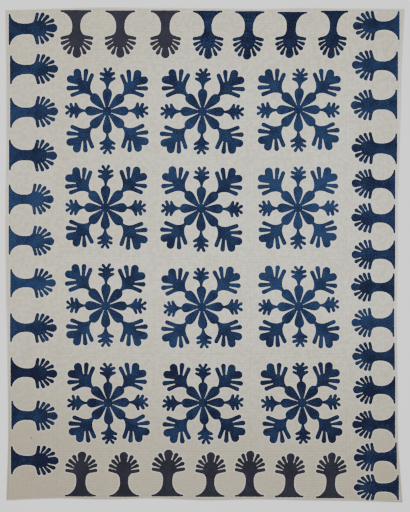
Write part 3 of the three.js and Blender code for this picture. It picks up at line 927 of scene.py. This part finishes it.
def ground_material():
    material, tree, shader = new_material("white_cotton", 0.92, 0.08)
    place = object_place(tree)
    colour = aged_cotton(tree, place, GROUND)
    puff = node(tree, "ShaderNodeAttribute", attribute_name="puff").outputs["Fac"]
    quilting = node(tree, "ShaderNodeAttribute", attribute_name="quilting").outputs["Vector"]
    parts = node(tree, "ShaderNodeSeparateXYZ", {0: quilting})
    # Painted shade: the quilting's valleys, where the puff is low, are darkened
    valley_shade = ramp(tree, puff, 0.0, 0.7, 0.12, 0.0)
    colour = mix(tree, valley_shade, colour, GROUND_DIRT_AND_SHADE)
    # Painted shade: darker patches about a puff across stand in for the puffs' shading
    mottling = ramp(tree, noise(tree, place, 50, 3.0), 0.38, 0.62, 0.0, 0.30)
    colour = mix(tree, mottling, colour, GROUND_DIRT_AND_SHADE)
    near = node(tree, "ShaderNodeAttribute", attribute_name="near").outputs["Fac"]
    # Painted highlight: a light halo on the ground just round each motif
    colour = mix(tree, ramp(tree, near, 2.0, 6.5, 0.35, 0.0), colour, GROUND_HALO_HIGHLIGHT)
    colour = mix(tree, round_mark(tree, place, **SPOT), colour, SPOT_COLOUR)
    # Running stitches: short dashes on each line of quilting
    stitches = None
    for line in (0, 1):
        off = math_node(tree, "PINGPONG", parts.outputs[line], 0.5)
        on_line = ramp(tree, off, 0.012, 0.035, 1.0, 0.0)
        stitches = on_line if stitches is None else math_node(tree, "MAXIMUM", stitches, on_line)
    place_parts = node(tree, "ShaderNodeSeparateXYZ", {0: place})
    both = math_node(tree, "ADD", place_parts.outputs[0], place_parts.outputs[1])
    waves = math_node(tree, "MULTIPLY", both, 2 * math.pi / (QUILTING_STITCH * MM))
    dash = math_node(tree, "SINE", waves)
    dashes = math_node(tree, "MULTIPLY", stitches, ramp(tree, dash, -0.1, 0.3))
    dashes = math_node(tree, "MULTIPLY", dashes, parts.outputs[2])
    colour = mix(tree, math_node(tree, "MULTIPLY", dashes, 0.5), colour, THREAD)
    tree.links.new(colour, shader.inputs["Base Color"])
    weave = bumped(tree, weave_height(tree, place), 0.25, 0.0001)
    crumple = bumped(tree, noise(tree, place, 60, 3.0), 1.0, 0.002, weave)
    tree.links.new(bumped(tree, dashes, 0.5, 0.0003, crumple), shader.inputs["Normal"])
    return material


def backing_material():
    material, tree, shader = new_material("backing_cotton", 0.93, 0.05)
    place = object_place(tree)
    colour = aged_cotton(tree, place, GROUND)
    steps = 1 / (BACK_QUILT_STEP * MM)
    scaled = node(tree, "ShaderNodeVectorMath", {0: place, "Scale": steps}, operation="SCALE")
    parts = node(tree, "ShaderNodeSeparateXYZ", {0: scaled.outputs[0]})
    lines = [ramp(tree, math_node(tree, "PINGPONG", parts.outputs[i], 0.5), 0.0, 0.2) for i in (0, 1)]
    swell = math_node(tree, "MULTIPLY", *lines)
    # Painted shade: the backing darkens along its lines of quilting
    colour = mix(tree, ramp(tree, swell, 0.0, 0.6, 0.1, 0.0), colour, GROUND_DIRT_AND_SHADE)
    tree.links.new(colour, shader.inputs["Base Color"])
    weave = bumped(tree, weave_height(tree, place), 0.25, 0.0001)
    tree.links.new(bumped(tree, swell, 0.6, 0.0006, weave), shader.inputs["Normal"])
    return material


def binding_material():
    material, tree, shader = new_material("binding_cotton", 0.9, 0.08)
    place = object_place(tree)
    colour = aged_cotton(tree, place, TAPE)
    wear = ramp(tree, noise(tree, place, 45, 4.0), 0.55, 0.8, 0.0, 0.35)
    colour = mix(tree, wear, colour, GROUND_DIRT_AND_SHADE)
    run = node(tree, "ShaderNodeAttribute", attribute_name="run").outputs["Fac"]
    inset = node(tree, "ShaderNodeAttribute", attribute_name="inset").outputs["Fac"]
    inner = ramp(tree, inset, 7.6, 9.2)
    dash = math_node(tree, "SINE", math_node(tree, "MULTIPLY", run, 2 * math.pi / HEM_STITCH))
    sewn = math_node(tree, "MULTIPLY", inner, ramp(tree, dash, 0.2, 0.7))
    colour = mix(tree, math_node(tree, "MULTIPLY", sewn, 0.25), colour, GROUND_DIRT_AND_SHADE)
    tree.links.new(colour, shader.inputs["Base Color"])
    weave = bumped(tree, weave_height(tree, place), 0.25, 0.0001)
    puckers = bumped(tree, noise(tree, place, 160, 2.0), 0.3, 0.0008, weave)
    tree.links.new(bumped(tree, sewn, 0.4, 0.0004, puckers), shader.inputs["Normal"])
    return material


def print_material(name, dark, light, dot, dot_share):
    """Printed cotton: a dyed ground with small pale dots in nearly even rows, lighter in places."""
    material, tree, shader = new_material(name, 0.88, 0.02, 0.09)
    place = object_place(tree)
    cloth = node(tree, "ShaderNodeAttribute", attribute_name="cloth").outputs["Vector"]
    depth = node(tree, "ShaderNodeAttribute", attribute_name="depth").outputs["Fac"]
    parts = node(tree, "ShaderNodeSeparateXYZ", {0: cloth})
    patchy = ramp(tree, noise(tree, place, 14, 4.0), 0.3, 0.7, -0.22, 0.22)
    flecked = ramp(tree, noise(tree, place, 150, 2.0), 0.3, 0.7, -0.28, 0.28)
    mottling = math_node(tree, "ADD", patchy, flecked)
    tone = math_node(tree, "ADD", parts.outputs[2], mottling, clamp=True)
    colour = mix(tree, tone, dark, light)
    print_place = node(tree, "ShaderNodeCombineXYZ", {0: parts.outputs[0], 1: parts.outputs[1]})
    spots = node(tree, "ShaderNodeTexVoronoi", {
        "Vector": print_place.outputs[0], "Scale": 1 / PRINT_STEP, "Randomness": 0.12,
    }, voronoi_dimensions="2D")
    printed = math_node(tree, "MULTIPLY", ramp(tree, tone, 0.0, 1.0, 0.5, 1.0), dot_share)
    dots = ramp(tree, spots.outputs["Distance"], 0.14, 0.22, 1.0, 0.0)
    dots = math_node(tree, "MULTIPLY", dots, printed)
    colour = mix(tree, dots, colour, dot)
    # Darker towards the edge: partly painted shade of the rounded rim, partly the cloth turned under
    # there
    rim_shade_and_fold = ramp(tree, depth, 0.0, 3.0, 0.45, 0.0)
    colour = mix(tree, rim_shade_and_fold, colour, tuple(0.45 * c for c in dark))
    tree.links.new(colour, shader.inputs["Base Color"])
    weave = bumped(tree, weave_height(tree, place), 0.2, 0.0001)
    crumple = bumped(tree, noise(tree, place, 70, 3.0), 0.25, 0.0008, weave)
    tree.links.new(crumple, shader.inputs["Normal"])
    return material


def floor_material():
    material, tree, shader = new_material("studio_floor", 0.8, 0.0)
    grain = ramp(tree, noise(tree, object_place(tree), 3, 2.0), 0.3, 0.7, 0.0, 0.06)
    tree.links.new(mix(tree, grain, (0.86, 0.86, 0.85), (0.81, 0.81, 0.80)), shader.inputs["Base Color"])
    return material


# The scene


def dress():
    ground = ground_material()
    prints = {
        "indigo": print_material("indigo_print", **INDIGO),
        "faded": print_material("faded_print", **FADED),
    }
    chance = np.random.default_rng(12)
    pieces = [backing(backing_material())]
    pieces += top_squares(ground) + top_borders(ground)
    for piece in pieces:
        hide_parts("quilt_body")
    tape = binding_material()
    pieces += [binding(side, tape) for side in ("head", "foot", "left", "right")]
    pieces += [motif_piece(motif, prints, chance) for motif in motifs]
    for piece in pieces:
        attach(piece, BODY)


def add_floor():
    half = 20.0
    mesh = bpy.data.meshes.new("floor")
    corners = [(-half, -half, 0), (half, -half, 0), (half, half, 0), (-half, half, 0)]
    mesh.from_pydata(corners, [], [(0, 1, 2, 3)])
    mesh.materials.append(floor_material())
    floor = bpy.data.objects.new("floor", mesh)
    floor.location.z = -FLOOR_DROP * MM
    bpy.context.collection.objects.link(floor)


def add_lamp(name, kind, place, power, colour, **shape):
    light = bpy.data.lights.new(name, kind)
    light.energy = power
    light.color = colour
    for key, value in shape.items():
        setattr(light, key, value)
    lamp = bpy.data.objects.new(name, light)
    lamp.location = place
    lamp.rotation_euler = Vector(place).to_track_quat("Z", "Y").to_euler()
    bpy.context.collection.objects.link(lamp)


def add_lights():
    """A low soft light from the head's left brings out the quilting. A wide one lights the middle."""
    add_lamp("key", "SUN", (-2.6, 3.4, 2.5), 2.4, (1.0, 0.99, 0.97), angle=math.radians(18))
    shape = {"shape": "RECTANGLE", "size": 2.4, "size_y": 3.0}
    add_lamp("top", "AREA", (-0.1, 0.1, 4.0), 116, (0.99, 0.99, 1.0), **shape)
    world = bpy.data.worlds.new("studio")
    world.use_nodes = True
    world.node_tree.nodes["Background"].inputs["Color"].default_value = (0.95, 0.97, 1.0, 1)
    world.node_tree.nodes["Background"].inputs["Strength"].default_value = 0.6
    bpy.context.scene.world = world


def add_camera():
    """A camera straight above, whose frame is the photograph's: 410 by 512 at 5.33 mm a pixel."""
    photo_width, photo_height = 410, 512
    quilt_in_photo = (204.55, 254.65)
    pixel = 5.33
    frame_height = photo_height * pixel * MM
    camera = bpy.data.cameras.new("camera")
    camera.lens = 100
    height = frame_height / 2 * camera.lens / (camera.sensor_width / 2)
    seen = bpy.data.objects.new("camera", camera)
    seen.location = (
        (photo_width / 2 - quilt_in_photo[0]) * pixel * MM,
        (quilt_in_photo[1] - photo_height / 2) * pixel * MM,
        height,
    )
    camera.clip_end = 50
    bpy.context.collection.objects.link(seen)
    bpy.context.scene.camera = seen


dress()
add_floor()
add_lights()
add_camera()
